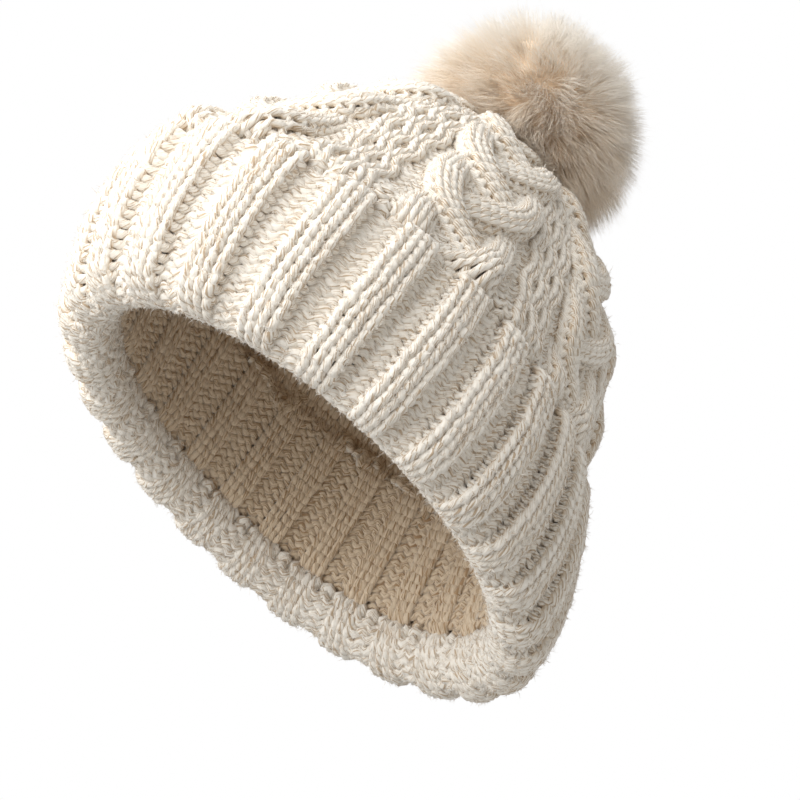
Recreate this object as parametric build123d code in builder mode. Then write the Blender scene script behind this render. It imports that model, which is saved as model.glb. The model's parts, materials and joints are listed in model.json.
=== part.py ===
"""Pom pom beanie: knitted crown, turned-up ribbed cuff and a snap-on fur pom.

Millimetres. The hat stands on its brim: +Z up, origin at the centre of the
head opening, front of the hat towards -Y. Every cross-section is an oval
whose centre leans forward with height.
"""

from build123d import *
import os
from math import cos, pi, radians, sin, sqrt

# ---- driving dimensions ----------------------------------------------------
opening_length = 186.0  # head opening, front to back
width_ratio = 0.8  # every oval's width over its length
knit_thickness = 5.0
cuff_height = 66.0
cuff_thickness = 8.0
cuff_gap = 1.0  # free space between the cuff and the crown, at its tightest
crown_height = 144.0
lean_per_mm = 0.38  # how far the ovals' centres move forward per mm of height
crown_top_half = 24.0  # half length of the flat patch that the snap sits on
apex_lean = 20.0  # how far forward the crown's top is
dome_roundness = 1.5  # higher makes the crown boxier
back_fullness = 8.0  # how far the middle of the crown bags out behind
pom_radius = 42.0
pom_core_radius = 17.0
pom_skin = 1.6
snap_radius = 6.5
snap_shank = 2.0  # radius of the stud's neck
stud_bulb = 2.4
running_clearance = 0.05
yarn_radius = 1.2
seam_yarn_radius = 1.0

# ---- worked-out sizes ------------------------------------------------------
hidden_half = opening_length / 2 + knit_thickness  # outside of the layer under the cuff
lean_at_cuff_top = lean_per_mm * cuff_height
apex_y = -apex_lean
ceiling_z = crown_height - knit_thickness

# The dome is drawn at these shares of the way from the cuff's top to the apex,
# closer together where it curves in.
dome_shares = [0.0, 0.2, 0.4, 0.58, 0.73, 0.85, 0.93, 0.98, 1.0]

# Shares of the cuff's height, and how far the cuff bulges there beyond its top edge.
cuff_bulge = [(0.0, 3.5), (0.3, 9.0), (0.65, 7.5), (1.0, 0.0)]


def dome_section(share, top_z, inset):
    """Height, half length, half width and forward lean of the dome's oval at one share."""
    height = cuff_height + share * (top_z - cuff_height)
    closing = sqrt(1.0 - share**dome_roundness)
    half_length = crown_top_half + (hidden_half - crown_top_half) * closing
    lean = lean_at_cuff_top + (apex_lean - lean_at_cuff_top) * share
    lean -= back_fullness * sin(pi * share)
    return height, half_length - inset, half_length * width_ratio - inset, lean


def skirt_section(height, offset):
    """The same four sizes for a straight oval tube, offset from the hidden layer."""
    half_width = hidden_half * width_ratio + offset
    return height, hidden_half + offset, half_width, lean_per_mm * height


def ovals(sections):
    """One oval face per section."""
    faces = []
    for height, half_length, half_width, lean in sections:
        with BuildSketch(Plane.XY.offset(height)) as section:
            with Locations((0, -lean)):
                Ellipse(half_width, half_length)
        faces.append(section.sketch.face())
    return faces


os.makedirs("parts", exist_ok=True)
finished = []


def finish(builder, label):
    """Name a finished piece and write it."""
    builder.part.label = label
    export_step(builder.part, f"parts/{label}.step")
    finished.append(builder.part)


# ---- snap heights, measured up from the crown's top ------------------------
apex_z = crown_height
disc_thickness = 1.5
disc_radius = 8.0
stud_flange = 0.8
flange_top = apex_z + stud_flange
thread_hole_radius = 0.6
thread_radius = 0.5
thread_circle = 4.9
thread_head = 0.4
disc_edge_fillet = 0.4
neck_height = 2.2
neck_flare = 0.6  # height of the cone from the neck out to the bulb
bulb_height = 1.6
bulb_arc = 2.6
neck_top = flange_top + neck_height
bulb_top = neck_top + bulb_height
flange_gap = 0.8  # between the two halves of the snap
socket_bottom = flange_top + flange_gap
socket_flange = 1.3
socket_roof = 0.5
socket_edge_fillet = 0.45
bulb_headroom = 0.1
socket_top = bulb_top + bulb_headroom + socket_roof
spring_wire = 0.35
spring_rise = 1.1  # the wire ring's height above the socket's lower face
spring_z = socket_bottom + spring_rise
spring_arc = 310.0  # degrees; the rest is the gap that lets the ring open
shank_gap = 1.0  # free thread under the shank
shank_length = 1.7
shank_circle = 1.2
shank_bottom = socket_top + shank_gap
shank_top = shank_bottom + shank_length
rock_pivot_z = (shank_bottom + shank_top) / 2
felt_thickness = 1.2
felt_radius = 12.0
skin_radius = pom_core_radius + pom_skin
pom_z = shank_top + felt_thickness + skin_radius
snap_axis = Plane(origin=(0, apex_y, 0), x_dir=(1, 0, 0), z_dir=(0, -1, 0))

# ---- knitted crown, with the layer that runs down inside the cuff ----------
skirt_outside = [skirt_section(height, 0.0) for height in (0.0, cuff_height)]
skirt_inside = [skirt_section(height, -knit_thickness) for height in (0.0, cuff_height)]
dome_outside = [dome_section(share, crown_height, 0.0) for share in dome_shares]
dome_inside = [dome_section(share, ceiling_z, knit_thickness) for share in dome_shares]
with BuildPart() as knit_crown:
    loft(ovals(skirt_outside))
    loft(ovals(dome_outside))
    loft(ovals(skirt_inside), mode=Mode.SUBTRACT)
    loft(ovals(dome_inside), mode=Mode.SUBTRACT)
    with BuildSketch(Plane.XY.offset(ceiling_z - 1.0)):
        with Locations((0, apex_y)):
            with PolarLocations(thread_circle, 4):
                Circle(thread_hole_radius)
    extrude(amount=knit_thickness + 2.0, mode=Mode.SUBTRACT)
finish(knit_crown, "knit_crown")

# ---- turned-up ribbed cuff -------------------------------------------------
cuff_inside = [
    skirt_section(share * cuff_height, cuff_gap + bulge) for share, bulge in cuff_bulge
]
cuff_outside = [
    skirt_section(share * cuff_height, cuff_gap + cuff_thickness + bulge)
    for share, bulge in cuff_bulge
]
with BuildPart() as ribbed_cuff:
    loft(ovals(cuff_outside))
    loft(ovals(cuff_inside), mode=Mode.SUBTRACT)
finish(ribbed_cuff, "ribbed_cuff")

# ---- yarn that draws the crown's top closed --------------------------------
gather_ring_radius = disc_radius + 2 * yarn_radius
with BuildPart() as crown_gather_yarn:
    with BuildSketch(snap_axis):
        with Locations((gather_ring_radius, apex_z + yarn_radius)):
            Circle(yarn_radius)
    revolve(axis=Axis((0, apex_y, 0), (0, 0, 1)))
finish(crown_gather_yarn, "crown_gather_yarn")

# ---- sewn seam up the back of the crown, on the inside ---------------------
seam_clearance = 1.9 * seam_yarn_radius
seam_bottom = 4.0
seam_bend = 16.0
seam_sections = [skirt_section(seam_bottom, -knit_thickness)] + dome_inside[:6]
seam_points = [
    (half_length - lean - seam_clearance, height)
    for height, half_length, half_width, lean in seam_sections
]
with BuildPart() as back_seam_yarn:
    with BuildLine(Plane.YZ) as seam_path:
        FilletPolyline(*seam_points, radius=seam_bend)
    with BuildSketch(Plane(origin=seam_path.line @ 0, z_dir=seam_path.line % 0)):
        Circle(seam_yarn_radius)
    sweep(path=seam_path.line)
finish(back_seam_yarn, "back_seam_yarn")

# ---- disc under the crown's top --------------------------------------------
with BuildPart() as stud_backing_disc:
    with BuildSketch(Plane.XY.offset(ceiling_z - disc_thickness)):
        with Locations((0, apex_y)):
            Circle(disc_radius)
            with PolarLocations(thread_circle, 4):
                Circle(thread_hole_radius, mode=Mode.SUBTRACT)
    extrude(amount=disc_thickness)
    rim = stud_backing_disc.edges().filter_by(GeomType.CIRCLE).sort_by(Edge.length)[-2:]
    fillet(rim, disc_edge_fillet)
finish(stud_backing_disc, "stud_backing_disc")

# ---- press stud, male half -------------------------------------------------
with BuildPart() as snap_stud:
    with BuildSketch(snap_axis):
        with BuildLine():
            Polyline((0, apex_z), (snap_radius, apex_z), (snap_radius, flange_top))
            Line((snap_radius, flange_top), (snap_shank, flange_top))
            Line((snap_shank, flange_top), (snap_shank, neck_top - neck_flare))
            Line((snap_shank, neck_top - neck_flare), (stud_bulb, neck_top))
            RadiusArc((stud_bulb, neck_top), (0, bulb_top), -bulb_arc)
            Line((0, bulb_top), (0, apex_z))
        make_face()
    revolve(axis=Axis((0, apex_y, 0), (0, 0, 1)))
    with BuildSketch(Plane.XY.offset(apex_z)):
        with Locations((0, apex_y)):
            with PolarLocations(thread_circle, 4):
                Circle(thread_hole_radius)
    extrude(amount=flange_top - apex_z, mode=Mode.SUBTRACT)
finish(snap_stud, "snap_stud")

# ---- four stitches through the stud, the crown and the disc ----------------
head_radius = 1.1  # the turn of thread at each end of a stitch
lower_head_z = ceiling_z - disc_thickness - thread_head
with BuildPart() as stud_sewing_thread:
    for bottom, height, radius in (
        (lower_head_z, thread_head, head_radius),
        (lower_head_z, flange_top + thread_head - lower_head_z, thread_radius),
        (flange_top, thread_head, head_radius),
    ):
        with BuildSketch(Plane.XY.offset(bottom)):
            with Locations((0, apex_y)):
                with PolarLocations(thread_circle, 4):
                    Circle(radius)
        extrude(amount=height)
finish(stud_sewing_thread, "stud_sewing_thread")

# ---- wire ring that grips the stud -----------------------------------------
spring_radius = stud_bulb + running_clearance + spring_wire
with BuildPart() as snap_spring:
    with BuildSketch(snap_axis):
        with Locations((spring_radius, spring_z)):
            Circle(spring_wire)
    revolve(axis=Axis((0, apex_y, 0), (0, 0, 1)), revolution_arc=spring_arc)
finish(snap_spring, "snap_spring")

# ---- press stud, female half -----------------------------------------------
bore_radius = stud_bulb + running_clearance
groove_radius = spring_radius + spring_wire + running_clearance
groove_half = spring_wire + running_clearance
socket_body_radius = 4.4
with BuildPart() as snap_socket:
    with BuildSketch(snap_axis):
        with BuildLine():
            Polyline(
                (bore_radius, socket_bottom),
                (snap_radius, socket_bottom),
                (snap_radius, socket_bottom + socket_flange),
                (socket_body_radius, socket_bottom + socket_flange),
                (socket_body_radius, socket_top),
                (0, socket_top),
                (0, socket_top - socket_roof),
                (bore_radius, socket_top - socket_roof),
                (bore_radius, spring_z + groove_half),
                (groove_radius, spring_z + groove_half),
                (groove_radius, spring_z - groove_half),
                (bore_radius, spring_z - groove_half),
                (bore_radius, socket_bottom),
            )
        make_face()
    revolve(axis=Axis((0, apex_y, 0), (0, 0, 1)))
    top_edge = snap_socket.edges().filter_by(GeomType.CIRCLE).group_by(Axis.Z)[-1]
    fillet(top_edge, socket_edge_fillet)
finish(snap_socket, "snap_socket")

# ---- thread shank between the socket and the pom ---------------------------
with BuildPart() as socket_sewing_thread:
    with BuildSketch(Plane.XY.offset(shank_bottom)):
        with Locations((0, apex_y)):
            with PolarLocations(shank_circle, 4):
                Circle(thread_radius)
    extrude(amount=shank_top - shank_bottom)
finish(socket_sewing_thread, "socket_sewing_thread")

# ---- felt disc under the pom -----------------------------------------------
with BuildPart() as pom_base_felt:
    with BuildSketch(Plane.XY.offset(shank_top)):
        with Locations((0, apex_y)):
            Circle(felt_radius)
    extrude(amount=felt_thickness)
finish(pom_base_felt, "pom_base_felt")

# ---- drawstring that gathers the fur fabric's edge -------------------------
drawstring_radius = 0.8
inner_clearance = 0.1
gather_mouth = 4.5  # radius of the hole that the drawstring closes
drawstring_circle = gather_mouth - drawstring_radius - 2 * inner_clearance
skin_bottom = pom_z - skin_radius
with BuildPart() as pom_drawstring:
    with BuildSketch(snap_axis):
        with Locations((drawstring_circle, skin_bottom + drawstring_radius + inner_clearance)):
            Circle(drawstring_radius)
    revolve(axis=Axis((0, apex_y, 0), (0, 0, 1)))
finish(pom_drawstring, "pom_drawstring")

# ---- knitted backing of the fur, a skin around the filling -----------------
with BuildPart() as pom_fur_backing:
    with Locations((0, apex_y, pom_z)):
        Sphere(skin_radius)
        Sphere(pom_core_radius + inner_clearance, mode=Mode.SUBTRACT)
    with BuildSketch(Plane.XY.offset(skin_bottom)):
        with Locations((0, apex_y)):
            Circle(gather_mouth)
    extrude(amount=skin_radius / 2, mode=Mode.SUBTRACT)
finish(pom_fur_backing, "pom_fur_backing")

# ---- polyester filling -----------------------------------------------------
filling_bottom = skin_bottom + 2 * drawstring_radius + 6 * inner_clearance
with BuildPart() as pom_filling:
    with Locations((0, apex_y, pom_z)):
        Sphere(pom_core_radius)
    split(bisect_by=Plane.XY.offset(filling_bottom), keep=Keep.TOP)
finish(pom_filling, "pom_filling")

# ---- fur pile, hollow around the backing and coned underneath --------------
pile_inner = skin_radius + inner_clearance
felt_rim_gap = 0.6
collar_radius = felt_radius + felt_rim_gap  # the pile starts just outside the felt
collar_inner_z = pom_z - sqrt(pile_inner**2 - collar_radius**2)
collar_outer_z = shank_top + felt_thickness / 2
brim_drop = 13.0  # how far below the pom's centre its underside starts
brim_radius = sqrt(pom_radius**2 - brim_drop**2)
outer_angle = radians(-10)  # an arc's middle point, seen from the pom's centre
pile_middle = (pom_radius * cos(outer_angle), pom_z + pom_radius * sin(outer_angle))
inner_angle = radians(20)
pile_inner_middle = (pile_inner * cos(inner_angle), pom_z + pile_inner * sin(inner_angle))
with BuildPart() as pom_fur_pile:
    with BuildSketch(snap_axis):
        with BuildLine():
            ThreePointArc(
                (collar_radius, collar_inner_z), pile_inner_middle, (0, pom_z + pile_inner)
            )
            Line((0, pom_z + pile_inner), (0, pom_z + pom_radius))
            ThreePointArc(
                (0, pom_z + pom_radius), pile_middle, (brim_radius, pom_z - brim_drop)
            )
            Line((brim_radius, pom_z - brim_drop), (collar_radius, collar_outer_z))
            Line((collar_radius, collar_outer_z), (collar_radius, collar_inner_z))
        make_face()
    revolve(axis=Axis((0, apex_y, 0), (0, 0, 1)))
finish(pom_fur_pile, "pom_fur_pile")

# ---- summary ---------------------------------------------------------------
whole = Compound(children=finished)
extent = whole.bounding_box()
print("pieces:", len(finished))
print("low corner:", extent.min, " high corner:", extent.max)
print("rock pivot height:", round(rock_pivot_z, 3), " pom centre height:", round(pom_z, 3))
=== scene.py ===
"""Looks of the pom pom beanie: knitted yarn, cables, fur pom, light and camera.

The fabric is real yarn: every stitch is a loop of one swept tube, laid out in
columns and rows on the hat's walls. Metres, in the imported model's frame.
"""

import json
import math
from functools import partial

import bmesh
import bpy
import numpy as np
from mathutils import Matrix, Vector


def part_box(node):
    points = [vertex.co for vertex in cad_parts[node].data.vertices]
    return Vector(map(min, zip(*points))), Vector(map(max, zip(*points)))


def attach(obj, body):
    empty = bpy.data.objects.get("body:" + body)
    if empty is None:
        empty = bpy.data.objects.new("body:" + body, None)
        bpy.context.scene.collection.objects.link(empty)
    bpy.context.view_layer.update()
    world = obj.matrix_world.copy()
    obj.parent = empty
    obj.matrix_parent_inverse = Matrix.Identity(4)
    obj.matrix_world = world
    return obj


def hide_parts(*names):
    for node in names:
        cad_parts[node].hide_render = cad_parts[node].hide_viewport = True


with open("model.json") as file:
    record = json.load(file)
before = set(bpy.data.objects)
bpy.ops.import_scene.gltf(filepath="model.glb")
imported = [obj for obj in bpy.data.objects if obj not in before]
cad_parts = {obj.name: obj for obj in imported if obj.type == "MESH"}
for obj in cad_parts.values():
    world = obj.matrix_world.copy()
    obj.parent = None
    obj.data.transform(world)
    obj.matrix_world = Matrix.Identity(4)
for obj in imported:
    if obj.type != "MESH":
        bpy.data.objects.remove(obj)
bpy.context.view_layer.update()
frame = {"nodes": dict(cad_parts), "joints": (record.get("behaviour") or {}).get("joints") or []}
rng = np.random.default_rng(11)
MM = 0.001
TAU = 2 * math.pi

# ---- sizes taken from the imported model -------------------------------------
_, crown_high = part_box("knit_crown")
cuff_low, cuff_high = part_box("ribbed_cuff")
pile_low, pile_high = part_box("pom_fur_pile")
skin_low, skin_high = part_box("pom_fur_backing")
felt_low, felt_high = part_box("pom_base_felt")
gather_low, gather_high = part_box("crown_gather_yarn")
string_low, string_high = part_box("pom_drawstring")
cuff_axis = next(j["axis"] for j in frame["joints"] if j["name"] == "cuff_turn_down")

wall_half_length = crown_high.y  # outside of the layer behind the cuff
wall_half_width = crown_high.x
cuff_height = cuff_high.z
crown_height = crown_high.z
lean_rate = -cuff_axis[1] / cuff_axis[2]
pom_radius = (pile_high.y - pile_low.y) / 2
pom_centre = Vector((0, (pile_low.y + pile_high.y) / 2, pile_high.z - pom_radius))
skin_radius = (skin_high.x - skin_low.x) / 2
apex_lean = -pom_centre.y
felt_radius = (felt_high.x - felt_low.x) / 2

# ---- yarn and stitches -----------------------------------------------------
repeats = 26  # one rib and one valley each
rib_columns = 2
repeat_columns = 4
columns_round = repeats * repeat_columns
row_pitch = 3.3 * MM
yarn_radius = 1.5 * MM
cuff_yarn_radius = 1.9 * MM  # the ribs are stretched wider, so the yarn blooms
knit_depth = 0.6 * MM  # how far a loop swings in front of and behind the fabric
purl_depth = 1.0 * MM
loop_reach = 0.82  # half a loop's height, in rows
loop_waist = 0.15  # how far a loop narrows at its foot, in columns
column_wander = 0.045  # how far a stitch strays, in columns
row_wander = 0.05  # in rows
depth_wander = 0.12 * MM
samples_per_stitch = 10
tube_sides = 6
hair_sides = 3  # of a fibre or a hair, which has no twist to show

# ---- cuff profile ----------------------------------------------------------
cuff_gap = 1.0 * MM
cuff_thickness = 8.0 * MM
rib_rise = 3.2 * MM
valley_drop = 2.9 * MM
rib_roll = 0.06  # how far a rib's edge rolls over the valley, in columns
valley_tuck = 0.17  # how far the valley's edge is drawn in under the rib
rib_roll_reach = 0.22
layer_middle = -2.6 * MM  # middle of the hidden layer, from its outside
fold_height = 12.5 * MM
cuff_bulge = np.polynomial.Polynomial.fit([0, 0.3, 0.65, 1], [3.5, 9.0, 7.5, 0], 3)
cuff_front = 3.6 * MM  # from the middle of the cuff's fabric to the front of its ribs
edge_curl = 3.4 * MM  # how far the cuff's free edge curls in
tip_length = 10 * MM  # of a rib's rounded end at that edge

# ---- crown profile ---------------------------------------------------------
top_half_length = 24 * MM
dome_roundness = 1.5
back_fullness = 8 * MM
cuff_swell = 7.0 * MM  # how far the crown bulges over the cuff's edge
swell_reach = 9 * MM
crown_sink = 2.0 * MM  # how much further in it lies above the cuff than behind it
ripple_height = 0.7 * MM
flare_out = 4.5 * MM  # its lowest rows lie in the hollow of the cuff's fold


def unit(vectors):
    """The same vectors at length one."""
    length = np.linalg.norm(vectors, axis=-1, keepdims=True)
    return vectors / np.maximum(length, 1e-12)


def smooth_step(low, high, value):
    """0 below low, 1 above high, smooth between."""
    share = np.clip((value - low) / (high - low), 0, 1)
    return share * share * (3 - 2 * share)


# ---- walls that the fabric lies on -----------------------------------------
def even_angle_table():
    """Share of the way round the opening's oval, by length, against its angle."""
    angle = np.linspace(0, TAU, 721)
    x = wall_half_width * np.cos(angle)
    y = wall_half_length * np.sin(angle)
    steps = np.hypot(np.diff(x), np.diff(y))
    share = np.concatenate([[0], np.cumsum(steps)])
    return share / share[-1], angle


even_share, even_angle = even_angle_table()
fan_angle = math.radians(-112)  # where the columns fan out most
fan_strength = 0.85


def oval(share, height, half_length, half_width, lean):
    """Points on an oval that stands at a height and leans forward. The columns keep
    square to the brim as the wall leans, so they fan out in front and close up behind."""
    angle = np.interp(share % 1.0, even_share, even_angle)
    from_fan = (angle - fan_angle) / 2
    spread = np.exp(fan_strength * lean / wall_half_length)
    angle = 2 * np.arctan2(spread * np.sin(from_fan), np.cos(from_fan)) + fan_angle
    x = half_width * np.cos(angle)
    y = half_length * np.sin(angle) - lean
    return np.stack(np.broadcast_arrays(x, y, height), axis=-1)


def cuff_offset(height):
    """Middle of the cuff's fabric, measured out from the hidden layer."""
    bulge = cuff_bulge(height / cuff_height) * MM
    return cuff_gap + cuff_thickness + bulge - cuff_front


def cuff_profile():
    """The cuff's path from its lip inside the brim, round the fold and up to its edge."""
    outer = cuff_offset(fold_height)
    fold_radius = (outer - layer_middle) / 2
    turn = np.linspace(math.pi, TAU, 40)
    lip = np.array([[layer_middle, fold_height + 5 * MM]])
    fold = np.stack(
        [
            layer_middle + fold_radius * (1 + np.cos(turn)),
            fold_height + fold_radius * np.sin(turn),
        ],
        axis=-1,
    )
    heights = np.linspace(fold_height, cuff_height, 60)[1:]
    side = np.stack([cuff_offset(heights), heights], axis=-1)
    path = np.concatenate([lip, fold, side])
    along = np.concatenate([[0], np.cumsum(np.linalg.norm(np.diff(path, axis=0), axis=1))])
    return along, path


cuff_along, cuff_path = cuff_profile()
cuff_length = cuff_along[-1]
fold_middle = (cuff_along[1] + cuff_along[40]) / 2


def cuff_wall(share, along):
    """A point of the cuff's middle surface; along is metres from its inner lip."""
    offset = np.interp(along, cuff_along, cuff_path[:, 0])
    height = np.interp(along, cuff_along, cuff_path[:, 1])
    half_length = wall_half_length + offset
    return oval(share, height, half_length, wall_half_width + offset, lean_rate * height)


def crown_profile():
    """Height, half length, half width and lean along the crown, from brim to top."""
    lean_at_cuff = lean_rate * cuff_height
    low = np.linspace(0, cuff_height, 40)[:-1]
    share = np.sin(np.linspace(0, math.pi / 2, 120))
    closing = np.sqrt(np.maximum(1 - share**dome_roundness, 0))
    dome_half = top_half_length + (wall_half_length - top_half_length) * closing
    narrow = wall_half_width / wall_half_length
    height = np.concatenate([low, cuff_height + share * (crown_height - cuff_height)])
    half_length = np.concatenate([np.full_like(low, wall_half_length), dome_half])
    half_width = np.concatenate([np.full_like(low, wall_half_width), dome_half * narrow])
    dome_lean = lean_at_cuff + (apex_lean - lean_at_cuff) * share
    dome_lean = dome_lean - back_fullness * np.sin(math.pi * share)
    lean = np.concatenate([lean_rate * low, dome_lean])
    steps = np.hypot(np.diff(height), np.diff(half_length))
    along = np.concatenate([[0], np.cumsum(steps)])
    return along, height, half_length, half_width, lean


crown_along, crown_z, crown_long, crown_wide, crown_lean = crown_profile()
crown_length = crown_along[-1]


def crown_wall(share, along):
    """A point of the crown's middle surface; along is metres from the brim. Its lowest
    rows flare out into the hollow of the cuff's fold."""
    height = np.interp(along, crown_along, crown_z)
    swell = cuff_swell * np.exp(-(((height - cuff_height) / swell_reach) ** 2))
    ripple = np.sin(TAU * 5 * share + 60 * along) + np.sin(TAU * 9 * share - 95 * along)
    above_cuff = smooth_step(cuff_height - 10 * MM, cuff_height + 1 * MM, height)
    below_top = 1 - smooth_step(crown_length - 40 * MM, crown_length, along)
    flare = flare_out * (1 - smooth_step(fold_height + 2 * MM, fold_height + 10 * MM, height))
    sunk = layer_middle + flare - crown_sink * above_cuff
    out = sunk + swell * above_cuff + ripple_height * ripple * above_cuff * below_top
    half_length = np.interp(along, crown_along, crown_long) + out
    half_width = np.interp(along, crown_along, crown_wide) + out
    lean = np.interp(along, crown_along, crown_lean)
    return oval(share, height, half_length, half_width, lean)


def wall_normal(wall, share, along):
    """Which way is out of a wall at each point."""
    across = wall(share + 0.001, along) - wall(share - 0.001, along)
    up = wall(share, along + 0.4 * MM) - wall(share, along - 0.4 * MM)
    return unit(np.cross(across, up))


def girth(wall, along):
    """Length round a wall at one distance along it."""
    share = np.linspace(0, 1, 181)
    points = wall(share, np.full_like(share, along))
    return float(np.linalg.norm(np.diff(points, axis=0), axis=1).sum())


# ---- meshes ----------------------------------------------------------------
def build_mesh(name, points, faces, layers, material):
    """A smooth mesh from arrays: faces is (count, corners), layers is name to UVs."""
    count, corners = faces.shape
    mesh = bpy.data.meshes.new(name)
    mesh.vertices.add(len(points))
    mesh.vertices.foreach_set("co", points.astype(np.float32).ravel())
    mesh.loops.add(count * corners)
    mesh.loops.foreach_set("vertex_index", faces.astype(np.int32).ravel())
    mesh.polygons.add(count)
    starts = np.arange(0, count * corners, corners, dtype=np.int32)
    mesh.polygons.foreach_set("loop_start", starts)
    for layer, values in layers.items():
        uv = mesh.uv_layers.new(name=layer)
        uv.data.foreach_set("uv", values.astype(np.float32).ravel())
    mesh.update(calc_edges=True)
    mesh.polygons.foreach_set("use_smooth", np.ones(count, dtype=bool))
    mesh.materials.append(material)
    piece = bpy.data.objects.new(name, mesh)
    bpy.context.scene.collection.objects.link(piece)
    return piece


def corner_uvs(u0, u1, v0, v1):
    """The UVs of each face's four corners, in the order of the face."""
    corners = [(u0, v0), (u1, v0), (u1, v1), (u0, v1)]
    return np.stack([np.stack(np.broadcast_arrays(u, v), axis=-1) for u, v in corners], axis=3)


def tubes(name, lines, normals, radii, material, sides=tube_sides, closed=False):
    """One mesh of many swept tubes. lines is (tubes, points, 3), radii (tubes, points)."""
    count, points = lines.shape[:2]
    if closed:
        ahead, behind = np.roll(lines, -1, 1), np.roll(lines, 1, 1)
    else:
        ahead = np.concatenate([lines[:, 1:], lines[:, -1:]], axis=1)
        behind = np.concatenate([lines[:, :1], lines[:, :-1]], axis=1)
    tangent = unit(ahead - behind)
    sideways = unit(np.cross(tangent, normals))
    outward = np.cross(sideways, tangent)
    turn = TAU * np.arange(sides) / sides
    ring = np.cos(turn)[:, None] * outward[:, :, None] + np.sin(turn)[:, None] * sideways[:, :, None]
    vertices = lines[:, :, None] + radii[:, :, None, None] * ring

    spans = points if closed else points - 1
    line = np.arange(count)[:, None, None]
    span = np.arange(spans)[None, :, None]
    side = np.arange(sides)[None, None, :]
    near = (line * points + span) * sides
    far = (line * points + (span + 1) % points) * sides
    next_side = (side + 1) % sides
    faces = np.stack([near + side, far + side, far + next_side, near + next_side], axis=-1)

    step = np.linalg.norm(np.roll(lines, -1, 1) - lines, axis=-1)
    travelled = np.concatenate([np.zeros((count, 1)), np.cumsum(step, axis=1)], axis=1)
    start = travelled[:, :spans, None]
    end = travelled[:, 1 : spans + 1, None]
    low_side = side / sides
    high_side = (side + 1) / sides
    yarn_uv = corner_uvs(start, end, low_side, high_side)
    across = math.ceil(math.sqrt(count * sides / max(spans, 1)))
    across = max(1, min(across, count))
    stacks = math.ceil(count / across)
    u0 = (line % across + span / spans) / across
    u1 = (line % across + (span + 1) / spans) / across
    v0 = (line // across + low_side) / stacks
    v1 = (line // across + high_side) / stacks
    bake_uv = corner_uvs(u0, u1, v0, v1)
    layers = {"OFBake": bake_uv} if sides == hair_sides else {"yarn": yarn_uv, "OFBake": bake_uv}
    return build_mesh(name, vertices.reshape(-1, 3), faces.reshape(-1, 4), layers, material)


def ride_as(piece, body, slot_name, *nodes):
    """Put a piece on its body and hide the CAD nodes it stands for. slot_name is not used."""
    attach(piece, body)
    if nodes:
        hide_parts(*nodes)
    return piece


# ---- knitting --------------------------------------------------------------
cuff_strands = []  # points, headings and normals of the yarn, for the fuzz to grow from
crown_strands = []


def remember(strands, lines, normals):
    """Keep some points of the yarn, with the way it runs and the way out of the fabric."""
    heading = unit(np.roll(lines, -1, 1) - lines)[:, :-1:3]
    kept = (lines[:, :-1:3], heading, normals[:, :-1:3])
    strands.append([values.reshape(-1, 3) for values in kept])


def loop_path():
    """One stitch: column and row of each sample, and how far it swings to the front."""
    turn = TAU * np.arange(samples_per_stitch) / samples_per_stitch
    column = turn / TAU + loop_waist * np.sin(2 * turn)
    swing = np.tanh(-1.6 * np.cos(2 * turn)) / math.tanh(1.6)
    return column, -loop_reach * np.cos(turn), swing


def knit_band(name, wall, start, rows, columns, face, relief, material, last_row=False):
    """Rows of knitting, each one closed yarn. face(column, along) is 1 for knit and -1
    for purl; relief(column, along) is how far the fabric stands out of the wall."""
    column_in, row_in, swing = loop_path()
    stitch = np.arange(columns)
    column = (stitch[:, None] + column_in).reshape(1, -1)
    place = (stitch[:, None] + np.arange(samples_per_stitch) / samples_per_stitch).reshape(1, -1)
    row = np.arange(rows)[:, None] + np.tile(row_in, columns)[None, :]
    wander = rng.normal(0, 1, (3, rows, columns))
    wander = np.repeat((wander + np.roll(wander, 1, 2)) / 2, samples_per_stitch, axis=2)
    column = column + column_wander * wander[0]
    along = start + (row + row_wander * wander[1]) * row_pitch
    side = face(place, along)
    depth = knit_depth + (purl_depth - knit_depth) * (1 - side) / 2
    out = depth * side * np.tile(swing, columns)[None, :]
    out = out + relief(column, along) + depth_wander * wander[2]
    on_cuff = wall is cuff_wall
    share = (roll_over(column) if on_cuff else column) / columns
    normal = wall_normal(wall, share, along)
    lines = wall(share, along) + normal * out[..., None]
    radii = (cuff_yarn_radius if on_cuff else yarn_radius) * (1 + 0.06 * wander[1])
    if last_row:
        radii[-1] *= 1.1
    remember(cuff_strands if on_cuff else crown_strands, lines, normal)
    return tubes(name, lines, normal, radii, material, closed=True)


def from_rib(column):
    """Columns from the middle of the nearest rib."""
    return np.abs(beside_rib(column))


def beside_rib(column):
    """The same, with a minus sign on one side of the rib."""
    half = repeat_columns / 2
    return (column - rib_columns / 2 + half) % repeat_columns - half


def roll_over(column):
    """Ribs roll out over the valleys' edges, which are drawn in under them."""
    beside = beside_rib(column)
    past_edge = (np.abs(beside) - rib_columns / 2) / rib_roll_reach
    most = np.where(past_edge > 0, valley_tuck, rib_roll)
    return column - np.sign(beside) * most * past_edge * np.exp(0.5 - past_edge**2 / 2)


def rib_face(place, along):
    """Knit on the ribs, purl in the valleys."""
    edge = rib_columns / 2
    return 1 - 2 * smooth_step(edge - 0.12, edge + 0.12, from_rib(place))


def rib_shape(column, ease, narrowing=1.0):
    """1 along the top of a rib, curving over to -1 in the valley."""
    edge = rib_columns / 2
    away = from_rib(column) * narrowing
    crest = 1 - 0.30 * np.minimum(away / edge, 1) ** 2
    return crest - (crest + 1) * smooth_step(edge - 0.5 * ease, edge + ease, away)


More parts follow.
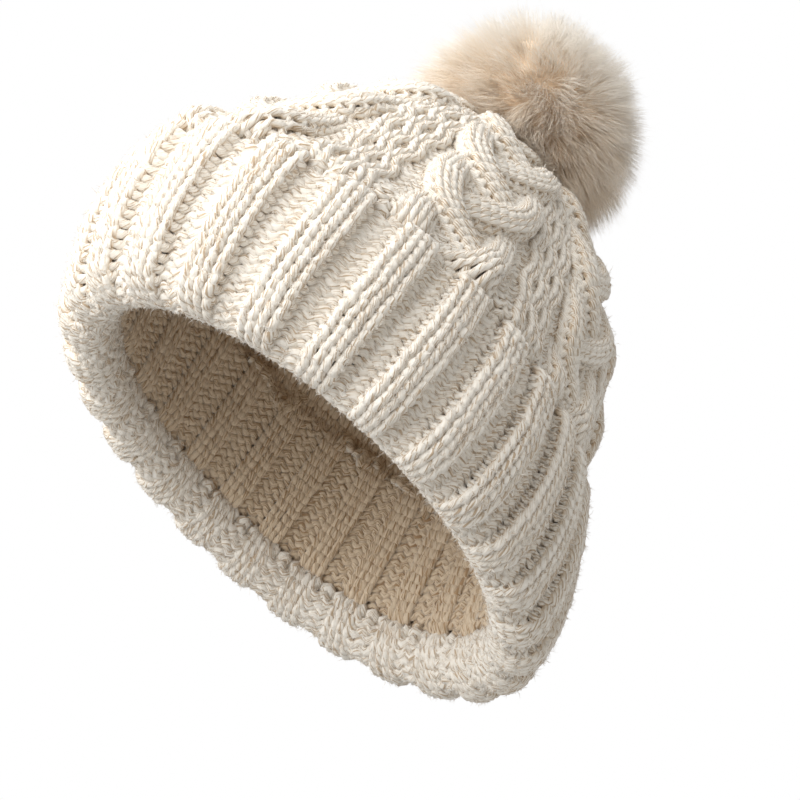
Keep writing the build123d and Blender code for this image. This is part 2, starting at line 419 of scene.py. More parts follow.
def rib_relief(column, along):
    """Ribs stand proud of the valleys; they flatten at the brim, and end in a rounded
    tip that curls in at the edge."""
    curl = smooth_step(cuff_length - tip_length, cuff_length + 1 * MM, along) ** 2
    shape = rib_shape(column, 0.30, 1 + 0.4 * curl)
    shape = np.where(shape > 0, shape * rib_rise, shape * valley_drop)
    grow = smooth_step(fold_middle - 4 * MM, fold_middle + 12 * MM, along)
    return (0.05 + 0.95 * grow) * (1 - 0.35 * curl) * shape - edge_curl * curl


def hidden_face(place, along):
    """Behind the cuff the same columns are seen from their other side; above it, purl."""
    above = smooth_step(cuff_height - 6 * MM, cuff_height, along)
    return -rib_face(place, along) * (1 - above) - above


def hidden_relief(column, along):
    """A shallow rib behind the cuff, inward, that fades out above it."""
    above = smooth_step(cuff_height - 10 * MM, cuff_height, along)
    return -0.8 * MM * rib_shape(column, 0.5) * (1 - above)


def purl_face(place, along):
    """The side that shows only purl bumps."""
    return -np.ones(np.broadcast(place, along).shape)


def ladder_relief(column, along):
    """The crown's ground puckers a little from row to row."""
    return 0.35 * MM * np.sin(TAU * along / (2 * row_pitch))


def knit_cuff(material):
    """The cuff in bands of rows, from the lip inside the brim to its free edge."""
    total = int((cuff_length - loop_reach * row_pitch) / row_pitch)
    per_band = 6
    for number, first in enumerate(range(0, total, per_band), 1):
        rows = min(per_band, total - first)
        start = (first + 1) * row_pitch
        piece = knit_band(
            f"cuff_knit_{number}", cuff_wall, start, rows, columns_round,
            rib_face, rib_relief, material, last_row=first + rows == total,
        )
        ride_as(piece, "cuff", "cuff_yarn", "ribbed_cuff")


def knit_crown(material):
    """The crown's ground: one column in five is taken away each time it gets narrow."""
    along = fold_height - 2 * MM
    end = crown_length - 3 * MM
    columns = columns_round
    per_band = 9
    narrowest = 4.1 * MM
    number = 0
    while along < end:
        rows = 0
        while rows < per_band and along + rows * row_pitch < end:
            if girth(crown_wall, along + rows * row_pitch) / columns < narrowest:
                break
            rows += 1
        if rows == 0:
            columns = int(columns * 4 / 5)
            continue
        number += 1
        full = columns == columns_round
        piece = knit_band(
            f"crown_knit_{number}", crown_wall, along, rows, columns,
            hidden_face if full else purl_face,
            hidden_relief if full else ladder_relief, material,
        )
        ride_as(piece, "hat", "crown_yarn", "knit_crown")
        along += rows * row_pitch


# ---- cables on the crown ---------------------------------------------------
cable_count = 7
cable_phase = -0.055
cable_start = cuff_height - 6 * MM
cable_end = crown_length - 6 * MM


class Cable:
    """A group of knitted strands that cross one another as they climb the crown."""

    def __init__(self, strands, columns, column_width, swing, lift, period, base, crest):
        self.strands = strands
        self.columns = columns
        self.column_width = column_width
        self.swing = swing
        self.lift = lift
        self.period = period
        self.base = base
        self.crest = crest

    def middle(self, strand, along):
        """Sideways shift and lift of a strand's middle."""
        raise NotImplementedError


class Plait(Cable):
    """Strands that take turns to pass over one another."""

    def middle(self, strand, along):
        turn = TAU * (along / self.period + strand / self.strands)
        return self.swing * np.tanh(1.7 * np.sin(turn)), self.lift * np.sin(2 * turn)


class Honeycomb(Cable):
    """Strands that touch the neighbour on one side, then the neighbour on the other."""

    spacing = 7.0 * MM

    def middle(self, strand, along):
        turn = TAU * along / self.period
        place = (strand - (self.strands - 1) / 2) * self.spacing
        side = 1 if strand % 2 else -1
        return place + side * self.swing * np.sin(turn), self.lift * np.cos(2 * turn)


plait = Plait(
    strands=3, columns=3, column_width=4.3 * MM, swing=16.0 * MM, lift=2.4 * MM,
    period=94 * MM, base=2.0 * MM, crest=2.8 * MM,
)
honeycomb = Honeycomb(
    strands=3, columns=1, column_width=6.3 * MM, swing=1.3 * MM, lift=0.3 * MM,
    period=17 * MM, base=1.9 * MM, crest=0.5 * MM,
)


def cable_scale(along):
    """Cables narrow as the crown closes."""
    return np.clip(1.7 * np.interp(along, crown_along, crown_long) / wall_half_length, 0.3, 1.0)


def strand_rows(cable, strand):
    """Where a strand's rows lie, one row pitch apart along the strand itself."""
    fine = np.linspace(cable_start, cable_end, 800)
    shift, _ = cable.middle(strand, fine)
    steps = np.hypot(np.diff(fine), np.diff(shift * cable_scale(fine)))
    travelled = np.concatenate([[0], np.cumsum(steps)])
    rows = np.arange(0, travelled[-1], row_pitch * 1.04)
    return np.interp(rows, travelled, fine), travelled, fine


def row_path(columns):
    """One row of a strand: knit loops from edge to edge, tucked behind at both ends."""
    column_in, row_in, swing = loop_path()
    turn = np.arange(samples_per_stitch)
    column = np.concatenate([column_in[turn] + number for number in range(columns)] + [[columns]])
    row = np.concatenate([np.tile(row_in, columns), row_in[:1]])
    front = np.concatenate([np.tile(swing, columns), swing[:1]])
    return column, row, front


def strand_place(cable, strand, centre, along, column):
    """Where points of a strand lie: place round the crown, distance up it, height over
    its wall and the strand's scale. column is counted from the strand's one edge."""
    scale = cable_scale(along)
    shift, lift = cable.middle(strand, along)
    ahead, _ = cable.middle(strand, along + 0.5 * MM)
    behind, _ = cable.middle(strand, along - 0.5 * MM)
    slope = (ahead - behind) * scale / (1.0 * MM)
    from_middle = (column - cable.columns / 2) * cable.column_width * scale
    lateral = shift * scale + from_middle / np.sqrt(1 + slope**2)
    climbed = along - from_middle * slope / np.sqrt(1 + slope**2)
    around = math.pi * (
        np.interp(along, crown_along, crown_long) + np.interp(along, crown_along, crown_wide)
    )
    edge = np.abs(column / cable.columns * 2 - 1)
    tuck = 1 - 0.8 * smooth_step(0.62, 1.0, edge)
    start_dive = 5 * MM * (1 - smooth_step(cable_start, cable_start + 12 * MM, along))
    body = cable.base + (lift + cable.crest * (1 - edge**2) ** 0.7) * scale
    climbed = np.minimum(climbed, crown_length - 1 * MM)
    return centre + lateral / around, climbed, (body - start_dive) * tuck, scale


def strand_lines(cable, strand, centre):
    """Every row of one strand as a line of points, with the wall's normals and yarn radii."""
    column, row, front = row_path(cable.columns)
    starts, travelled, fine = strand_rows(cable, strand)
    start_length = np.interp(starts, fine, travelled)
    jitter = rng.normal(0, 1, (3, len(starts), 1))
    length = start_length[:, None] + (row + 0.06 * jitter[0]) * row_pitch
    along = np.interp(length, travelled, fine)
    column = column[None, :] + 0.03 * jitter[1]
    share, climbed, height, scale = strand_place(
        cable, strand, centre, along, np.clip(column, 0, cable.columns)
    )
    height = height + knit_depth * front + 0.1 * MM * jitter[2]
    normal = wall_normal(crown_wall, share, climbed)
    line = crown_wall(share, climbed) + normal * height[..., None]
    remember(crown_strands, line, normal)
    return line, normal, 1.08 * yarn_radius * scale**0.5


def strand_edges(cable, strand, centre):
    """The two yarns that run up under a strand's edges and close the gaps between its rows."""
    along = np.linspace(cable_start, cable_end, 180)[None, :]
    from_edge = 0.45
    column = np.array([[from_edge], [cable.columns - from_edge]])
    share, climbed, height, scale = strand_place(cable, strand, centre, along, column)
    height = np.maximum(height - 1.1 * yarn_radius, 0)
    normal = wall_normal(crown_wall, share, climbed)
    line = crown_wall(share, climbed) + normal * height[..., None]
    return line, normal, np.broadcast_to(1.15 * yarn_radius * scale**0.5, height.shape)


def knit_cable(name, cable, centres, material):
    """The rows of every strand of the cables at these places round the crown, and the
    yarns under the strands' edges."""
    for label, build in ((name, strand_lines), (f"{name}_edges", strand_edges)):
        parts = [
            build(cable, strand, centre) for centre in centres for strand in range(cable.strands)
        ]
        lines, normals, radii = (np.concatenate(arrays) for arrays in zip(*parts))
        piece = tubes(label, lines, normals, radii, material)
        ride_as(piece, "hat", "crown_yarn", "knit_crown")


def knit_cables(material):
    """Plaits, with a honeycomb between each two."""
    shares = (np.arange(cable_count) + 0.5) / cable_count + cable_phase
    for number in range(0, cable_count, 2):
        knit_cable(f"crown_plait_{number // 2 + 1}", plait, shares[number : number + 2], material)
        between = shares[number : number + 2] + 0.5 / cable_count
        knit_cable(f"crown_honeycomb_{number // 2 + 1}", honeycomb, between, material)


# ---- fuzz ------------------------------------------------------------------
def grow_fuzz(name, strands, yarn, counts, material, body, slot_name):
    """Short fibres that lie along the yarn, and fewer long ones that curl off it. Counts
    are how many of each."""
    points, headings, normals = (np.concatenate(kept) for kept in zip(*strands))
    for kind, count, low, high, loose in (
        ("short", counts[0], 1.0 * MM, 2.8 * MM, 0.5),
        ("long", counts[1], 1.5 * MM, 4.2 * MM, 0.9),
    ):
        chosen = rng.integers(0, len(points), count)
        outward = normals[chosen]
        heading = headings[chosen] * rng.choice([-1, 1], (count, 1))
        sideways = unit(np.cross(heading, outward))
        turn = rng.uniform(-1.5, 1.5, (count, 1))
        foot_way = outward * np.cos(turn) + sideways * np.sin(turn)
        foot = points[chosen] + foot_way * 0.96 * yarn
        lift = 0.12 + loose * rng.random((count, 1)) ** 2
        run = unit(heading + 0.55 * rng.normal(0, 1, (count, 3)) + lift * foot_way)
        length = low + (high - low) * rng.random((count, 1)) ** 2
        curl = unit(rng.normal(0, 1, (count, 3)) + 0.3 * outward)
        tip = foot + run * length * (1 - 0.2 * loose) + curl * length * 0.4 * loose
        steps = [foot, foot + run * length * 0.5 + foot_way * 0.2 * MM, tip]
        widths = np.array([0.075, 0.09, 0.01]) * MM
        if kind == "short":
            steps.pop(1)
            widths = widths[1:]
        lines = np.stack(steps, axis=1)
        side = np.repeat(unit(np.cross(run, curl))[:, None], len(steps), axis=1)
        radii = widths * rng.uniform(0.7, 1.4, (count, 1))
        pieces = max(1, round(count / 25000))
        for number, part in enumerate(np.array_split(np.arange(count), pieces), 1):
            label = f"{name}_{kind}_{number}"
            piece = tubes(label, lines[part], side[part], radii[part], material, sides=hair_sides)
            ride_as(piece, body, slot_name)


# ---- pom -------------------------------------------------------------------
def scatter_directions(count):
    """Even directions over a sphere."""
    number = np.arange(count) + 0.5
    z = 1 - 2 * number / count
    angle = TAU * number * 0.6180339887
    flat = np.sqrt(1 - z * z)
    return np.stack([flat * np.cos(angle), flat * np.sin(angle), z], axis=-1)


def pom_floor(distance):
    """How low fur may hang at a distance from the pom's axis: just over the crown."""
    return crown_height + 4.5 * MM - 0.10 * distance


def lean_into_tufts(direction):
    """Which way each hair ends and how far it reaches: hairs near one another share a tuft."""
    count = len(direction)
    tufts = 420
    tuft = scatter_directions(tufts) + rng.normal(0, 0.05, (tufts, 3))
    nearest = np.argmax(direction @ unit(tuft).T, axis=1)
    tuft_way = unit(tuft)[nearest]
    tuft_bend = rng.normal(0, 0.07, (tufts, 3))[nearest]
    reach = pom_radius * (1 + 0.02 * rng.normal(0, 1, tufts)[nearest])
    reach = reach * (1.10 - 0.05 * direction[:, 2]) * (1 - 0.18 * rng.random(count) ** 2)
    wisp = rng.random(count) < 0.05
    reach = np.where(wisp, reach * 1.06, reach)
    end_way = unit(direction + 0.25 * (tuft_way - direction) + tuft_bend)
    return unit(end_way + rng.normal(0, 0.06, (count, 3))), reach


def hair_lines(count, rings):
    """The hairs as lines of points from the backing out. They curl at the tips, sag at
    the sides and lie on the crown underneath. With them, one way across each hair."""
    centre = np.array(pom_centre)
    direction = unit(scatter_directions(count) + rng.normal(0, 0.02, (count, 3)))
    direction = direction[direction[:, 2] > -0.86]
    count = len(direction)
    end_way, reach = lean_into_tufts(direction)
    root = 0.97 * skin_radius
    share = np.linspace(0, 1, rings)[None, :, None]
    radius = root + (reach[:, None, None] - root) * share
    way = unit(direction[:, None] * (1 - share**1.5) + end_way[:, None] * share**1.5)
    lines = centre + way * radius
    sag = 8.0 * MM * (1 - 0.8 * np.clip(direction[:, 2], 0, 1))
    lines[..., 2] -= sag[:, None] * share[..., 0] ** 2
    distance = np.hypot(lines[..., 0] - centre[0], lines[..., 1] - centre[1])
    floor = pom_floor(distance) + (3.0 * MM * rng.random(count) ** 2)[:, None]
    floor = np.where(distance > felt_radius, floor, felt_high.z)
    lines[..., 2] = np.maximum(lines[..., 2], floor)
    side = unit(np.cross(direction, rng.normal(0, 1, (count, 3))))
    return lines, np.repeat(side[:, None], rings, axis=1)


def grow_fur(material):
    """The pom's hairs, tapered, in a few pieces."""
    lines, normals = hair_lines(40000, rings=5)
    count, rings = lines.shape[:2]
    taper = np.array([0.07, 0.08, 0.07, 0.05, 0.008]) * MM
    radii = np.tile(taper, (count, 1)) * rng.uniform(0.8, 1.25, (count, 1))
    order = rng.permutation(count)
    groups = 6
    for number, part in enumerate(np.array_split(order, groups), 1):
        label = f"pom_fur_{number}"
        piece = tubes(label, lines[part], normals[part], radii[part], material, sides=hair_sides)
        shade_by_length(piece, rings)
        ride_as(piece, "pom", "fur", "pom_fur_pile")


def shade_by_length(piece, rings):
    """Store how far along its hair each point is, 0 at the root and 1 at the tip."""
    count = len(piece.data.vertices)
    ring = (np.arange(count) // hair_sides) % rings
    attribute = piece.data.attributes.new("tip", "FLOAT", "POINT")
    attribute.data.foreach_set("value", (ring / (rings - 1)).astype(np.float32))


def ball(name, radius, centre, material, rough, cut=None, detail=5):
    """A lumpy ball, cut flat below a height."""
    mesh = bpy.data.meshes.new(name)
    piece = bpy.data.objects.new(name, mesh)
    bpy.context.scene.collection.objects.link(piece)
    shape = bmesh.new()
    bmesh.ops.create_icosphere(shape, subdivisions=detail, radius=1)
    for vertex in shape.verts:
        way = vertex.co.normalized()
        lump = math.sin(9 * way.x + 3 * way.y) * math.sin(8 * way.y + 2) * math.sin(10 * way.z)
        lump += 0.5 * math.sin(31 * way.x + 7) * math.sin(27 * way.y) * math.sin(29 * way.z + 1)
        vertex.co = way * radius * (1 + rough * lump) + centre
        if cut is not None and vertex.co.z < cut:
            vertex.co.z = cut
    shape.to_mesh(mesh)
    shape.free()
    mesh.polygons.foreach_set("use_smooth", [True] * len(mesh.polygons))
    mesh.materials.append(material)
    return piece


def ring_of_yarn(name, centre, radius, thickness, waves, lift, material, body, slot_name, node):
    """A closed loop of yarn that ripples round a circle."""
    steps = 240
    turn = TAU * np.arange(steps) / steps
    away = radius + lift * np.cos(waves * turn)
    z = centre[2] + lift * np.sin(waves * turn)
    points = np.stack([centre[0] + away * np.cos(turn), centre[1] + away * np.sin(turn), z], axis=-1)
    normals = np.tile([0.0, 0.0, 1.0], (steps, 1))
    radii = np.full((1, steps), thickness)
    piece = tubes(name, points[None], normals[None], radii, material, sides=8, closed=True)
    return ride_as(piece, body, slot_name, node)


def gather_top(material):
    """The drawn-up loops that close the crown round the snap."""
    centre = (gather_low + gather_high) / 2
    thickness = (gather_high.z - gather_low.z) / 2
    radius = (gather_high.x - gather_low.x) / 2 - thickness
    ring_of_yarn(
        "crown_gather", centre, radius, 0.8 * thickness, 24, 0.25 * thickness,
        material, "hat", "crown_yarn", "crown_gather_yarn",
    )


def sew_back_seam(material):
    """Slanted stitches up the inside of the back."""
    seam_low, seam_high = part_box("back_seam_yarn")
    back_share = float(np.interp(math.pi / 2, even_angle, even_share))
    last = np.interp(seam_high.z, crown_z, crown_along)
    along = np.arange(seam_low.z + 9 * MM, last, 0.5 * MM)
    cycle = TAU * along / (2 * row_pitch)
    sideways = 1.5 * MM * np.sin(cycle)
    inward = -(1.6 + 0.5 * np.cos(cycle)) * MM
    share = back_share + sideways / girth(crown_wall, 0.03)
    normal = wall_normal(crown_wall, share, along)
    line = crown_wall(share, along) + normal * inward[:, None]
    radii = np.full((1, len(along)), 0.75 * MM)
    piece = tubes("back_seam", line[None], normal[None], radii, material)
    ride_as(piece, "hat", "crown_yarn", "back_seam_yarn")


def felt_disc(material):
    """A soft-edged felt disc with a slightly wavy rim."""
    steps = 96
    turn = TAU * np.arange(steps) / steps
    thickness = felt_high.z - felt_low.z
    profile = [(0.0, 0.0), (0.86, 0.0), (0.97, 0.14), (1.0, 0.5), (0.97, 0.86), (0.86, 1.0), (0.0, 1.0)]
    rings = []
    for share, level in profile:
        wave = 1 + 0.012 * np.sin(7 * turn) + 0.008 * np.sin(17 * turn + 1)
        radius = max(share, 0.02) * felt_radius * wave
        z = felt_low.z + level * thickness
        x = pom_centre.x + radius * np.cos(turn)
        y = pom_centre.y + radius * np.sin(turn)
        rings.append(np.stack([x, y, np.full_like(x, z)], axis=-1))
    points = np.concatenate(rings)
    faces = []
    for level in range(len(profile) - 1):
        for step in range(steps):
            after = (step + 1) % steps
            low, high = level * steps, (level + 1) * steps
            faces.append((low + step, low + after, high + after, high + step))
    piece = build_mesh("pom_felt", points, np.array(faces), {}, material)
    ride_as(piece, "pom", "felt", "pom_base_felt")


# ---- materials -------------------------------------------------------------
def new_material(name, roughness, sheen):
    """An empty node material with its shader's plain settings."""
    material = bpy.data.materials.new(name)
    material.use_nodes = True
    shader = material.node_tree.nodes["Principled BSDF"]
    shader.inputs["Roughness"].default_value = roughness
    shader.inputs["Sheen Weight"].default_value = sheen
    shader.inputs["Sheen Roughness"].default_value = 0.5
    return material, material.node_tree.nodes, material.node_tree.links, shader


def noise_node(nodes, links, source, scale, detail=3.0):
    node = nodes.new("ShaderNodeTexNoise")
    node.inputs["Scale"].default_value = scale
    node.inputs["Detail"].default_value = detail
    links.new(source, node.inputs["Vector"])
    return node.outputs["Fac"]


def ramp_node(nodes, links, source, stops):
    node = nodes.new("ShaderNodeValToRGB")
    ramp = node.color_ramp
    while len(ramp.elements) < len(stops):
        ramp.elements.new(0.5)
    for element, (place, colour) in zip(ramp.elements, stops):
        element.position = place
        element.color = (*colour, 1)
    links.new(source, node.inputs["Fac"])
    return node.outputs["Color"]


def mix_node(nodes, links, kind, factor, first, second):
    node = nodes.new("ShaderNodeMix")
    node.data_type = "RGBA"
    node.blend_type = kind
    if isinstance(factor, float):
        node.inputs["Factor"].default_value = factor
    else:
        links.new(factor, node.inputs["Factor"])
    links.new(first, node.inputs["A"])
    links.new(second, node.inputs["B"])
    return node.outputs["Result"]


def maths_node(nodes, links, operation, first, second=None, third=None):
    node = nodes.new("ShaderNodeMath")
    node.operation = operation
    for socket, value in zip(node.inputs, (first, second, third)):
        if value is None:
            continue
        if isinstance(value, (int, float)):
            socket.default_value = value
        else:
            links.new(value, socket)
    return node.outputs["Value"]


def bump_from(nodes, links, shader, height, strength, distance):
    bump = nodes.new("ShaderNodeBump")
    bump.inputs["Strength"].default_value = strength
    bump.inputs["Distance"].default_value = distance
    links.new(height, bump.inputs["Height"])
    links.new(bump.outputs["Normal"], shader.inputs["Normal"])


def yarn_material(name, pale, mid, deep, hollow):
    """Heathered soft-spun yarn: fibres in three tones run along it with its twist, and
    its side turned into the fabric is painted a little browner, as painted shade."""
    material, nodes, links, shader = new_material(name, 0.95, 0.30)
    maths = partial(maths_node, nodes, links)
    layer = nodes.new("ShaderNodeUVMap")
    layer.uv_map = "yarn"
    split = nodes.new("ShaderNodeSeparateXYZ")
    links.new(layer.outputs["UV"], split.inputs["Vector"])
    along, around = split.outputs["X"], split.outputs["Y"]
    twists_per_metre = 60.0
    streaks_round = 2.2
    turn = maths("MULTIPLY", maths("MULTIPLY_ADD", along, twists_per_metre, around), TAU)
    fibre_place = nodes.new("ShaderNodeCombineXYZ")
    links.new(maths("MULTIPLY", along, 170.0), fibre_place.inputs["X"])
    links.new(maths("MULTIPLY", maths("COSINE", turn), streaks_round), fibre_place.inputs["Y"])
    links.new(maths("MULTIPLY", maths("SINE", turn), streaks_round), fibre_place.inputs["Z"])
    streak = noise_node(nodes, links, fibre_place.outputs["Vector"], 1.0, 4.0)
    tone = ramp_node(nodes, links, streak, [(0.39, deep), (0.47, mid), (0.57, pale)])
    # Painted shade: the yarn's side turned into the fabric, where its crevices lie in shadow, is tinted
    # with the hollow colour.
    inward = maths("MULTIPLY_ADD", maths("COSINE", maths("MULTIPLY", around, TAU)), -0.5, 0.5)
    shade = ramp_node(nodes, links, inward, [(0.35, (1.0, 1.0, 1.0)), (0.85, hollow)])
    colour = mix_node(nodes, links, "MULTIPLY", 1.0, tone, shade)
    links.new(colour, shader.inputs["Base Color"])

    place = nodes.new("ShaderNodeTexCoord").outputs["Object"]
    fluff = noise_node(nodes, links, place, 1500, 3.0)
    height = maths("MULTIPLY_ADD", streak, 1.4, fluff)
    bump_from(nodes, links, shader, height, 0.7, 0.5 * MM)
    return material


def fibre_material(name, root, tip, sheen):
    """Fine fibres, darker at the root and paler at the tip; low on the pom, near the crown,
    they are painted a deeper brown, as painted shade.
    """
    material, nodes, links, shader = new_material(name, 0.7, sheen)
    maths = partial(maths_node, nodes, links)
    along = nodes.new("ShaderNodeAttribute")
    along.attribute_name = "tip"
    place = nodes.new("ShaderNodeTexCoord").outputs["Object"]
    patch = noise_node(nodes, links, place, 85, 3.0)
    mixed = maths("MULTIPLY_ADD", patch, 0.3, along.outputs["Fac"])
    split = nodes.new("ShaderNodeSeparateXYZ")
    links.new(place, split.inputs["Vector"])
    # Painted shade: hairs low on the pom, near the crown, take more of the root colour.
    above_centre = maths("SUBTRACT", split.outputs["Z"], pom_centre.z)
    shade_tan = 0.35
    low_painted_shade = maths("MULTIPLY_ADD", above_centre, shade_tan / pom_radius, -shade_tan)
    level = maths("ADD", mixed, maths("MAXIMUM", low_painted_shade, -1.6 * shade_tan))
    middle = tuple((a + b) / 2 for a, b in zip(root, tip))
    colour = ramp_node(nodes, links, level, [(0.18, root), (0.48, middle), (0.75, tip)])
    links.new(colour, shader.inputs["Base Color"])
    return material


def flecked_material(name, pale, deep):
    """Loose fibres, most of them pale and some brown."""
    material, nodes, links, shader = new_material(name, 0.8, 0.4)
    place = nodes.new("ShaderNodeTexCoord").outputs["Object"]
    fleck = noise_node(nodes, links, place, 900, 1.0)
    links.new(ramp_node(nodes, links, fleck, [(0.41, deep), (0.50, pale)]), shader.inputs["Base Color"])
    return material


def matted_material(name, pale, deep, scale, sheen=0.3, strength=0.5):
    """Felt, wadding and backing: matted fibres in two tones."""
    material, nodes, links, shader = new_material(name, 0.95, sheen)
    place = nodes.new("ShaderNodeTexCoord").outputs["Object"]
    fleck = noise_node(nodes, links, place, scale, 6.0)
    links.new(ramp_node(nodes, links, fleck, [(0.35, deep), (0.65, pale)]), shader.inputs["Base Color"])
    fibre = noise_node(nodes, links, place, scale * 4, 4.0)
    bump_from(nodes, links, shader, fibre, strength, 0.4 * MM)
    return material


def metal_material(name, pale, deep):
    """Pressed snap metal: fine scratches and dull patches."""
    material, nodes, links, shader = new_material(name, 0.32, 0.0)
    shader.inputs["Metallic"].default_value = 1.0
    place = nodes.new("ShaderNodeTexCoord").outputs["Object"]
    worn = noise_node(nodes, links, place, 320, 5.0)
    links.new(ramp_node(nodes, links, worn, [(0.35, deep), (0.62, pale)]), shader.inputs["Base Color"])
    scratch = noise_node(nodes, links, place, 2400, 2.0)
    bump_from(nodes, links, shader, scratch, 0.15, 0.05 * MM)
    return material


def dress_node(node, material):
    """Give a CAD node that stays on show its own finish."""
    piece = frame["nodes"][node]
    piece.data.materials.clear()
    piece.data.materials.append(material)


# ---- stage, light and camera -----------------------------------------------
def one_way_floor():
    """A pale floor that can't be seen from below, so the view up into the hat is clear."""
    material = bpy.data.materials.new("floor")
    material.use_nodes = True
    nodes, links = material.node_tree.nodes, material.node_tree.links
    shader = nodes["Principled BSDF"]
    shader.inputs["Base Color"].default_value = (0.86, 0.86, 0.85, 1)
    shader.inputs["Roughness"].default_value = 0.9
    clear = nodes.new("ShaderNodeBsdfTransparent")
    side = nodes.new("ShaderNodeNewGeometry").outputs["Backfacing"]
    mix = nodes.new("ShaderNodeMixShader")
    links.new(side, mix.inputs["Fac"])
    links.new(shader.outputs["BSDF"], mix.inputs[1])
    links.new(clear.outputs["BSDF"], mix.inputs[2])
    links.new(mix.outputs["Shader"], nodes["Material Output"].inputs["Surface"])
    half = 12.0
    mesh = bpy.data.meshes.new("floor")
    corners = [(-half, -half, 0), (half, -half, 0), (half, half, 0), (-half, half, 0)]
    mesh.from_pydata([(x, y, cuff_low.z - 0.5 * MM) for x, y, z in corners], [], [(0, 1, 2, 3)])
    mesh.materials.append(material)
    floor = bpy.data.objects.new("floor", mesh)
    floor.visible_diffuse = False
    floor.visible_glossy = False
    floor.visible_shadow = False
    bpy.context.scene.collection.objects.link(floor)


def camera_turn(azimuth, elevation, roll):
    """Right, up and back of a camera that looks at the hat from an angle."""
    a, e, r = (math.radians(x) for x in (azimuth, elevation, roll))
    back = Vector((math.sin(a) * math.cos(e), -math.cos(a) * math.cos(e), math.sin(e)))
    level = Vector((0, 0, 1)).cross(back).normalized()
    upright = back.cross(level)
    right = level * math.cos(r) + upright * math.sin(r)
    up = back.cross(right)
    return right, up, back


def place_camera():
    """Look slightly up into the hat from its left front, rolled as it sits on a head."""
    right, up, back = camera_turn(47.5, -23.9, 36.8)
    data = bpy.data.cameras.new("camera")
    data.sensor_width = 36
    data.lens = 213.8
    data.clip_start, data.clip_end = 0.1, 20
    camera = bpy.data.objects.new("camera", data)
    bpy.context.scene.collection.objects.link(camera)
    aim = Vector((0, 0, 80 * MM)) - right * 5.3 * MM - up * 20.0 * MM
    distance = 1.7
    camera.location = aim + back * distance
    camera.rotation_mode = "QUATERNION"
    camera.rotation_quaternion = Matrix((right, up, back)).transposed().to_quaternion()
    bpy.context.scene.camera = camera
    return right, up, back


def area_light(name, position, target, size, power):
    data = bpy.data.lights.new(name, "AREA")
    data.shape = "DISK"
    data.size = size
    data.energy = power
    light = bpy.data.objects.new(name, data)
    light.location = position
    light.rotation_euler = (Vector(target) - Vector(position)).to_track_quat("-Z", "Y").to_euler()
    bpy.context.scene.collection.objects.link(light)


def light_studio(right, up, back):
    """A soft key from above and the left of the view, a dimmer surround that fills in, and
    white where the camera looks past the hat."""
    centre = Vector((0, 0, 0.09))
    distance = 1.3
    key_place = centre + (up * 0.95 - right * 0.85 + back * 0.5) * distance
    area_light("key", key_place, centre, 2.8, 72)
    world = bpy.data.worlds.new("studio")
    world.use_nodes = True
    nodes, links = world.node_tree.nodes, world.node_tree.links
    surround = nodes["Background"]
    surround.inputs["Color"].default_value = (1, 0.985, 0.96, 1)
    surround.inputs["Strength"].default_value = 0.60
    backdrop = nodes.new("ShaderNodeBackground")
    backdrop.inputs["Color"].default_value = (1, 1, 1, 1)
    seen = nodes.new("ShaderNodeLightPath").outputs["Is Camera Ray"]
    mix = nodes.new("ShaderNodeMixShader")
    links.new(seen, mix.inputs["Fac"])
    links.new(surround.outputs["Background"], mix.inputs[1])
    links.new(backdrop.outputs["Background"], mix.inputs[2])
    links.new(mix.outputs["Shader"], nodes["World Output"].inputs["Surface"])
    bpy.context.scene.world = world
    bpy.context.scene.view_settings.view_transform = "Standard"


# ---- everything ------------------------------------------------------------
right, up, back = place_camera()
light_studio(right, up, back)
one_way_floor()

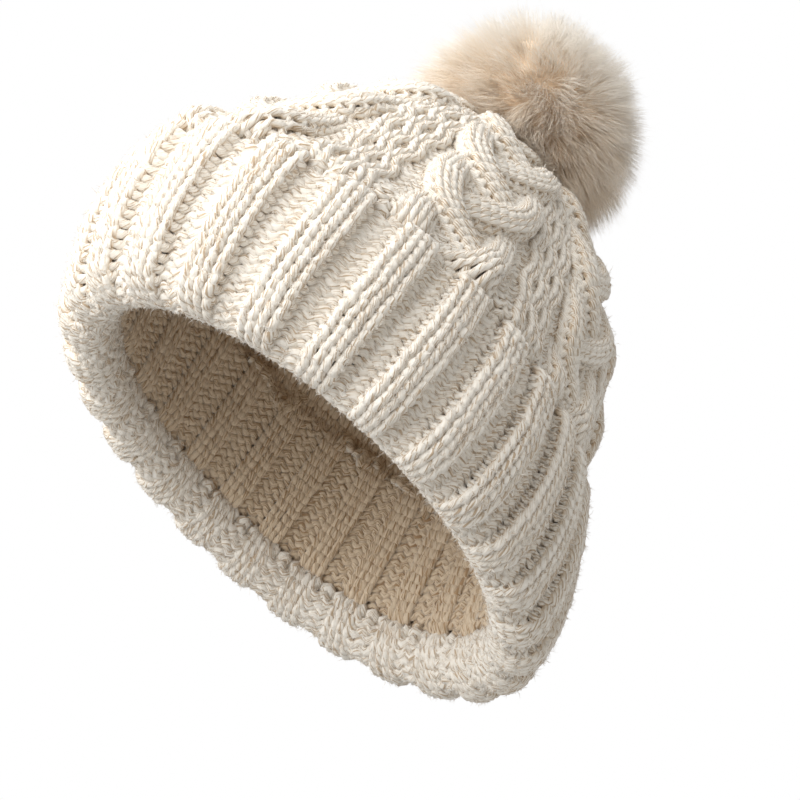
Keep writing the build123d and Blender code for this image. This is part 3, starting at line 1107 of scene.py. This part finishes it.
cuff_yarn = yarn_material(
    "cuff_yarn", (0.89, 0.845, 0.77), (0.81, 0.75, 0.66), (0.50, 0.38, 0.26), (0.82, 0.71, 0.58)
)
crown_yarn = yarn_material(
    "crown_yarn", (0.88, 0.835, 0.76), (0.80, 0.74, 0.65), (0.48, 0.36, 0.24), (0.80, 0.69, 0.56)
)
yarn_fuzz = flecked_material("yarn_fuzz", (0.94, 0.905, 0.84), (0.66, 0.54, 0.41))
fur = fibre_material("fur", (0.99, 0.80, 0.58), (0.99, 0.94, 0.86), 0.6)
undercoat = matted_material("undercoat", (0.96, 0.78, 0.59), (0.86, 0.66, 0.47), 700, 0.2, 0.9)
felt = matted_material("felt", (0.62, 0.52, 0.42), (0.48, 0.38, 0.29), 900)
wadding = matted_material("wadding", (0.90, 0.89, 0.86), (0.78, 0.77, 0.74), 250)
backing = matted_material("backing", (0.58, 0.47, 0.37), (0.44, 0.34, 0.26), 500)
thread = yarn_material(
    "thread", (0.78, 0.68, 0.56), (0.68, 0.57, 0.45), (0.50, 0.40, 0.30), (0.85, 0.80, 0.72)
)
brass = metal_material("snap_brass", (0.80, 0.68, 0.44), (0.52, 0.42, 0.26))
steel = metal_material("spring_steel", (0.70, 0.70, 0.72), (0.42, 0.42, 0.44))
plastic = matted_material("disc_plastic", (0.84, 0.82, 0.77), (0.76, 0.74, 0.69), 120, 0.0, 0.1)

knit_cuff(cuff_yarn)
knit_crown(crown_yarn)
knit_cables(crown_yarn)
gather_top(crown_yarn)
sew_back_seam(crown_yarn)
cuff_counts, crown_counts = (100000, 14000), (80000, 14000)  # short and long fibres
grow_fuzz("cuff_fuzz", cuff_strands, cuff_yarn_radius, cuff_counts, yarn_fuzz, "cuff", "cuff_yarn")
grow_fuzz("crown_fuzz", crown_strands, yarn_radius, crown_counts, yarn_fuzz, "hat", "crown_yarn")

grow_fur(fur)
core = ball("pom_undercoat", 0.72 * pom_radius, pom_centre, undercoat, 0.05, cut=felt_high.z + 1.5 * MM)
ride_as(core, "pom", "fur", "pom_fur_pile")
skin = ball("pom_backing", skin_radius, pom_centre, backing, 0.004, cut=skin_low.z)
ride_as(skin, "pom", "fur_backing", "pom_fur_backing")
stuffing = ball("pom_stuffing", 0.93 * skin_radius, pom_centre, wadding, 0.02, cut=skin_low.z + 2 * MM)
ride_as(stuffing, "pom", "filling", "pom_filling")
felt_disc(felt)
string_centre = (string_low + string_high) / 2
string_thickness = (string_high.z - string_low.z) / 2
ring_of_yarn(
    "pom_gather_thread", string_centre, (string_high.x - string_low.x) / 2 - string_thickness,
    0.8 * string_thickness, 12, 0.15 * string_thickness, thread, "pom", "sewing_thread", "pom_drawstring",
)
for node, finish in (
    ("stud_backing_disc", plastic),
    ("snap_stud", brass),
    ("snap_socket", brass),
    ("snap_spring", steel),
    ("stud_sewing_thread", thread),
    ("socket_sewing_thread", thread),
):
    dress_node(node, finish)
